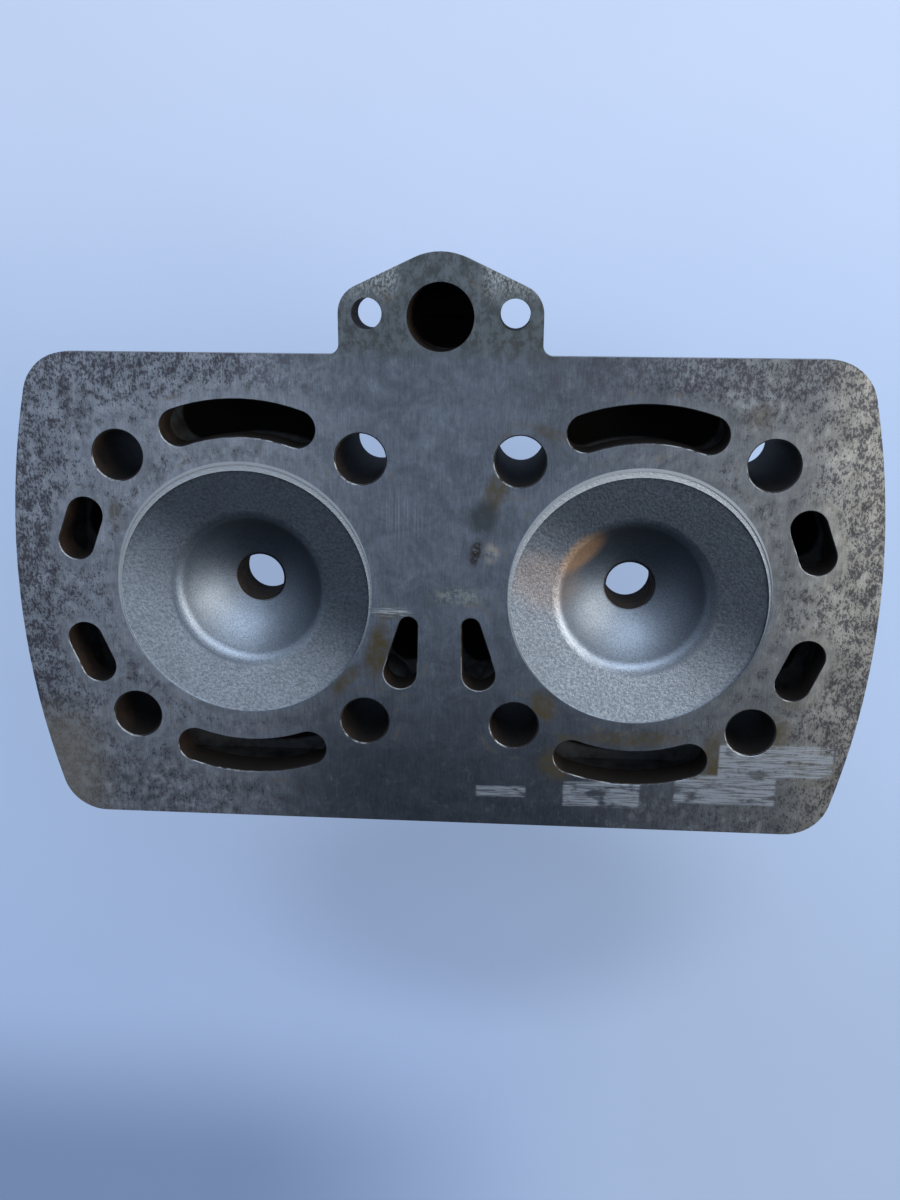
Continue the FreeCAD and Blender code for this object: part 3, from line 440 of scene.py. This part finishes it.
def head_material():
    """The head casting: machined face, blasted chambers, dark holes, and sand-cast skin elsewhere."""
    g = Graph("cast_aluminium_head")
    gap = opening_distance(g)
    face_colour, face_rough, face_relief = machined_face(g, gap)
    blasted, blast_rough, blast_relief = blasted_chamber(g)

    # sand-cast skin outside
    sand = g.noise(0.7, detail=4, rough=0.7, shift=61)
    lumps = g.noise(5.0, detail=3, shift=63)
    skin = g.mix(lumps.rises(0.35, 0.7), rgb(122, 126, 130), rgb(98, 102, 108))
    skin = g.mix((sand * 0.6 + lumps * 0.4).rises(0.52, 0.66) * 0.5, skin, rgb(70, 70, 70))

    # zones: 1 inside each
    side = abs(g.x)
    from_axis = g.far(side - CYLINDER_X, g.y)
    from_plug = g.far(side - PLUG_X, g.y - PLUG_Y)
    from_stud = round_hole(g, abs(side - CYLINDER_X), abs(g.y), STUD_X, STUD_Y, STUD_R)
    on_face = g.z.rises(FACE_EDGE - 0.02, FACE_EDGE + 0.03)
    in_chamber = from_axis.rises(REGISTER_R + 0.25, REGISTER_R + 0.15)
    in_chamber = in_chamber * g.z.rises(CHAMBER_BACK - 0.5, CHAMBER_BACK + 0.5)
    register = in_chamber * g.z.rises(REGISTER_STEP - 0.04, REGISTER_STEP + 0.04)
    below = g.z.rises(HOLE_EDGE + 0.04, HOLE_EDGE - 0.04)
    in_stud_hole = from_stud.rises(0.9, 0.4) * g.z.rises(STUD_BOSS_END - 0.2, STUD_BOSS_END + 0.2)
    in_slot = gap.rises(0.9, 0.4) * g.z.rises(OUTER_FACE - 0.5, OUTER_FACE + 0.5)
    in_jacket = gap.rises(3.0, 1.6) * g.z.rises(JACKET_ROOF - 0.5, JACKET_ROOF + 0.5) * g.y.rises(59, 57)
    in_hole = in_stud_hole.most(in_slot).most(in_jacket) * below * (1.0 - in_chamber)
    in_hole = in_hole * from_plug.rises(PLUG_WELL_R - 0.1, PLUG_WELL_R + 0.4)
    in_bore = from_plug.rises(PLUG_R + 0.3, PLUG_R + 0.2) * g.z.rises(PLUG_TOP + 0.1, PLUG_TOP)
    in_bore = in_bore * g.z.rises(PLUG_FOOT - 0.4, PLUG_FOOT)
    rim = gap.rises(0.6, 0.45) * (1.0 - below) * (1.0 - on_face) * (1.0 - in_chamber)

    # old scale with painted shade, nearly black, and painted warm light that browns the walls facing right
    scale_and_painted_shade = g.mix(g.noise(3.0, detail=4, shift=65), rgb(12, 11, 11), rgb(24, 20, 17))
    painted_warm_wall_light = g.facing(1.0, 0.0, 0.0).rises(0.3, 0.95) * g.noise(4.0, shift=67).rises(0.3, 0.6)
    scale_and_painted_shade = g.mix(painted_warm_wall_light * 0.35, scale_and_painted_shade, rgb(56, 42, 33))
    soot = g.mix(g.noise(1.5, shift=71), rgb(16, 13, 12), rgb(40, 30, 24))

    # painted highlight: a broken bright line on the rims that face up and right, with painted shade
    # darkening the other rims
    glint = g.facing(0.5, 0.5, 0.707).rises(0.78, 0.96) * g.noise(2.5, shift=73).rises(0.35, 0.6)
    rim_painted_highlight_and_shade = g.mix(glint, rgb(34, 34, 38), rgb(140, 146, 152))
    # painted reflection on the register step: pale towards the tab side, dark towards the rear
    step_painted_reflection = g.mix(g.y.rises(-34, 8), rgb(84, 91, 100), rgb(162, 169, 176))

    colour = g.mix(in_chamber, skin, blasted)
    colour = g.mix(register, colour, step_painted_reflection)
    colour = g.mix(in_bore, colour, soot)
    # holes and jacket: scale darkened further with painted shade
    colour = g.mix(in_hole, colour, scale_and_painted_shade)
    colour = g.mix(on_face, colour, face_colour)
    colour = g.mix(rim, colour, rim_painted_highlight_and_shade)
    cast_rough = 0.62 + sand * 0.2
    roughness = cast_rough + (blast_rough - cast_rough) * in_chamber
    roughness = roughness + (face_rough - roughness) * on_face
    relief = sand + (blast_relief - sand) * in_chamber
    relief = relief + (face_relief * 0.16 - relief) * on_face
    g.bump(relief, 0.16)
    # less shine in the holes, dark with scale and painted shade, and in the sooty plug bores
    dark_inside = in_hole.most(in_bore)
    g.put(g.shader.inputs["Specular IOR Level"], 0.5 - dark_inside * 0.35)
    return g.finish(colour, roughness, 0.75 - dark_inside * 0.75)


def metal(name, colour, stain, roughness, grain_size=0.6, metallic=0.9, lathe=False):
    """A machined or rolled metal: slight tarnish, fine grain, optional turning marks about +Z."""
    g = Graph(name)
    tarnish = g.noise(4.0, detail=4, rough=0.6, shift=len(name))
    grain = g.noise(grain_size, detail=3, rough=0.65, shift=2 * len(name))
    tone = g.mix(tarnish.rises(0.35, 0.75), rgb(*colour), rgb(*stain))
    tone = g.shade(tone, grain.rises(0.2, 0.8) * 0.25 + 0.86)
    relief = grain
    if lathe:
        relief = g.noise(0.3, detail=1, stretch=(60, 60, 1), shift=5) * 0.6 + grain * 0.4
    g.bump(relief, 0.04)
    return g.finish(tone, roughness + tarnish * 0.18, metallic)


def soft(name, colour, worn, roughness, grain_size, depth):
    """Rubber, fibre or moulding: matt, finely grained, with paler clouds."""
    g = Graph(name)
    cloud = g.noise(6.0, detail=3, shift=len(name))
    grain = g.noise(grain_size, detail=4, rough=0.7, shift=3)
    tone = g.mix(cloud.rises(0.4, 0.75), rgb(*colour), rgb(*worn))
    tone = g.shade(tone, grain * 0.5 + 0.75)
    g.bump(grain, depth)
    return g.finish(tone, roughness + grain * 0.1, 0.0)


def cover_material():
    """Sand-cast cover, a little paler than the head's outer skin."""
    g = Graph("cover_aluminium")
    sand = g.noise(0.8, detail=4, rough=0.7, shift=81)
    lumps = g.noise(7.0, detail=3, shift=83)
    tone = g.mix(lumps.rises(0.3, 0.75), rgb(136, 140, 144), rgb(108, 112, 117))
    tone = g.mix(sand.rises(0.52, 0.68) * 0.45, tone, rgb(78, 79, 80))
    g.bump(sand, 0.16)
    return g.finish(tone, 0.58 + sand * 0.2, 0.75)


def plug_thread(name, x):
    """A helical ridge in one plug hole, standing just inside the bore and fading at both ends."""
    steps = 36
    section = ((0.02, -0.414), (-0.20, -0.09), (-0.20, 0.09), (0.02, 0.414))
    sides = len(section)
    count = int((PLUG_TOP - PLUG_FOOT) / PLUG_PITCH * steps) + 1
    vertices, faces = [], []
    for i in range(count):
        angle = -2 * math.pi * i / steps
        rise = PLUG_FOOT + PLUG_PITCH * i / steps
        fade = min(1.0, 3 * i / steps, 3 * (count - 1 - i) / steps)
        for reach, lift in section:
            radius = PLUG_R + reach * (fade if reach < 0 else 1)
            point = (x + radius * math.cos(angle), PLUG_Y + radius * math.sin(angle), rise + lift)
            vertices.append(Vector(point) * MM)
        if i:
            base = sides * i
            for k in range(sides):
                n = (k + 1) % sides
                faces.append((base + k, base + n, base + n - sides, base + k - sides))
    faces.append(tuple(reversed(range(sides))))
    faces.append(tuple(range(len(vertices) - sides, len(vertices))))
    mesh = bpy.data.meshes.new(name)
    mesh.from_pydata(vertices, [], faces)
    mesh.update()
    piece = bpy.data.objects.new(name, mesh)
    bpy.context.scene.collection.objects.link(piece)
    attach(piece, "head")
    return piece


def dress(names, material):
    for name in names:
        node = nodes[name]
        node.data.materials.clear()
        node.data.materials.append(material)


def smooth(node, angle):
    """Soft shading on the curved faces of a CAD node, with its real edges kept crisp."""
    node.data.polygons.foreach_set("use_smooth", [True] * len(node.data.polygons))
    node.data.set_sharp_from_angle(angle=math.radians(angle))


def table_top():
    """The pale table that the head lies on, with its cover down; its paint holds painted dimming towards
    the rear and a painted soft shadow of the head.
    """
    r = TABLE_REACH
    mesh = bpy.data.meshes.new("table_top")
    mesh.from_pydata([(-r, -r, 0), (r, -r, 0), (r, r, 0), (-r, r, 0)], [], [(0, 1, 2, 3)])
    table = bpy.data.objects.new("table_top", mesh)
    bpy.context.scene.collection.objects.link(table)
    table.location.z = cad_box[0].z
    g = Graph("table_paint")
    # painted dimming: paler towards the tab side, darker towards the rear and in the rear left corner
    paint = g.mix(g.y.rises(10, 150), rgb(169, 191, 226), rgb(184, 201, 231))
    rear = g.mix(g.x.rises(-20, 90), rgb(156, 178, 216), rgb(161, 181, 212))
    paint = g.mix(g.y.rises(-20, -170), paint, rear)
    paint = g.mix(g.y.rises(-170, -250) * g.x.rises(60, -90), paint, rgb(116, 137, 175))
    # painted soft shadow of the head on the table
    paint = g.mix(spot(g, 10, -128, 105, 62) * 0.55, paint, rgb(128, 147, 179))
    paint = g.shade(paint, g.noise(60) * 0.05 + 0.975)
    g.finish(paint, 0.7, 0.0)
    glow = g.add("ShaderNodeEmission")
    g.put(glow.inputs["Color"], paint)
    path = g.add("ShaderNodeLightPath")
    seen = Field(g, path.outputs["Is Camera Ray"]) + Field(g, path.outputs["Is Glossy Ray"])
    seen = seen + Field(g, path.outputs["Is Transmission Ray"])
    blend = g.add("ShaderNodeMixShader")
    g.put(blend.inputs[0], seen.least(1.0) * GLOW_SHARE)
    g.put(blend.inputs[1], g.shader.outputs[0])
    g.put(blend.inputs[2], glow.outputs[0])
    g.put(g.tree.nodes["Material Output"].inputs["Surface"], blend.outputs[0])
    mesh.materials.append(g.material)


def sky():
    """Soft pale-blue surroundings, dim straight above and dark towards the rear."""
    world = bpy.data.worlds.new("studio")
    world.use_nodes = True
    bpy.context.scene.world = world
    tree = world.node_tree
    direction = tree.nodes.new("ShaderNodeTexCoord").outputs["Generated"]

    def toward(middle, low, high):
        """1 in the sky round a direction and 0 away from it; low and high are cosines."""
        dot = tree.nodes.new("ShaderNodeVectorMath")
        dot.operation = "DOT_PRODUCT"
        dot.inputs[1].default_value = Vector(middle).normalized()
        tree.links.new(direction, dot.inputs[0])
        spread = tree.nodes.new("ShaderNodeMapRange")
        spread.interpolation_type = "SMOOTHSTEP"
        spread.inputs["From Min"].default_value = low
        spread.inputs["From Max"].default_value = high
        tree.links.new(dot.outputs["Value"], spread.inputs["Value"])
        return spread.outputs["Result"]

    def blend(share, first, second):
        """The first colour where share is 0, the second where it is 1."""
        node = tree.nodes.new("ShaderNodeMix")
        node.data_type = "RGBA"
        tree.links.new(share, node.inputs[0])
        for socket, value in ((node.inputs[6], first), (node.inputs[7], second)):
            if isinstance(value, tuple):
                socket.default_value = value
            else:
                tree.links.new(value, socket)
        return node.outputs[2]

    colour = blend(toward((-0.08, -0.42, 0.9), 0.70, 0.98), rgb(214, 226, 244), rgb(92, 104, 124))
    colour = blend(toward((0.0, -0.85, 0.5), 0.45, 0.90), colour, rgb(40, 46, 56))
    # pale behind the table's far edge, for the camera alone
    seen = tree.nodes.new("ShaderNodeLightPath").outputs["Is Camera Ray"]
    colour = blend(seen, colour, rgb(196, 212, 242))
    tree.links.new(colour, tree.nodes["Background"].inputs["Color"])
    tree.nodes["Background"].inputs["Strength"].default_value = 1.0


def lamp(name, place, aim, size, power, colour):
    """A soft square lamp, in metres and watts."""
    data = bpy.data.lights.new(name, "AREA")
    data.size = size
    data.energy = power
    data.color = colour
    light = bpy.data.objects.new(name, data)
    bpy.context.scene.collection.objects.link(light)
    light.location = place
    light.rotation_euler = (Vector(aim) - Vector(place)).to_track_quat("-Z", "Y").to_euler()


def camera():
    """The viewpoint: above the tab side, looking down along the cylinders."""
    data = bpy.data.cameras.new("camera")
    data.sensor_width = 36.0
    data.lens = VIEW_LENS_MM
    view = bpy.data.objects.new("camera", data)
    bpy.context.scene.collection.objects.link(view)
    view.location = VIEW_PLACE
    view.rotation_euler = Euler([math.radians(a) for a in VIEW_TURN])
    data.clip_start = 0.01
    bpy.context.scene.camera = view


dress(["head_casting"], head_material())
dress(["thermostat_cover"], cover_material())
dress(["cover_gasket"], soft("gasket_fibre", (58, 54, 46), (80, 74, 62), 0.8, 0.5, 0.05))
zinc = metal("zinc_steel", (150, 152, 148), (112, 108, 96), 0.34, lathe=True)
dress(["cover_bolts", "cover_plain_washers", "blanking_plug", "bleed_screw"], zinc)
dress(["sender_terminal"], zinc)
sheet = metal("stainless_sheet", (158, 156, 150), (128, 122, 110), 0.3, grain_size=1.2)
dress(["thermostat_frame", "spring_stirrup", "valve_disc"], sheet)
spring_steel = metal("spring_steel", (120, 120, 122), (88, 84, 80), 0.32)
dress(["cover_spring_washers", "thermostat_spring"], spring_steel)
rubber = soft("nitrile_rubber", (24, 24, 26), (38, 38, 38), 0.6, 0.4, 0.03)
dress(["thermostat_seal_ring", "valve_seal"], rubber)
brass = metal("brass", (176, 142, 80), (122, 92, 52), 0.32, lathe=True)
dress(["wax_capsule", "jiggle_pin", "sender_body"], brass)
copper = metal("copper", (176, 104, 72), (120, 72, 54), 0.36)
dress(["sender_washer", "blanking_washer", "bleed_washer"], copper)
dress(["piston_pin"], metal("pin_steel", (160, 162, 166), (130, 132, 136), 0.22))
dress(["sender_insulator"], soft("bakelite", (34, 24, 20), (52, 36, 28), 0.38, 0.6, 0.02))

thread_metal = metal("plug_thread_metal", (46, 38, 32), (26, 21, 18), 0.5, metallic=0.5)
for name, x in (("left_plug_thread_turns", -PLUG_X), ("right_plug_thread_turns", PLUG_X)):
    plug_thread(name, x).data.materials.append(thread_metal)

for node in nodes.values():
    smooth(node, 32)

table_top()
sky()
lamp("warm_side", (0.60, 0.14, 0.34), (0, 0, 0), 0.55, 6.0, (1.0, 0.92, 0.80))
lamp("sky_front", (0.10, 0.75, 0.45), (0, 0, 0), 0.8, 8.0, (0.80, 0.89, 1.0))
camera()
bpy.context.scene.view_settings.view_transform = "Standard"
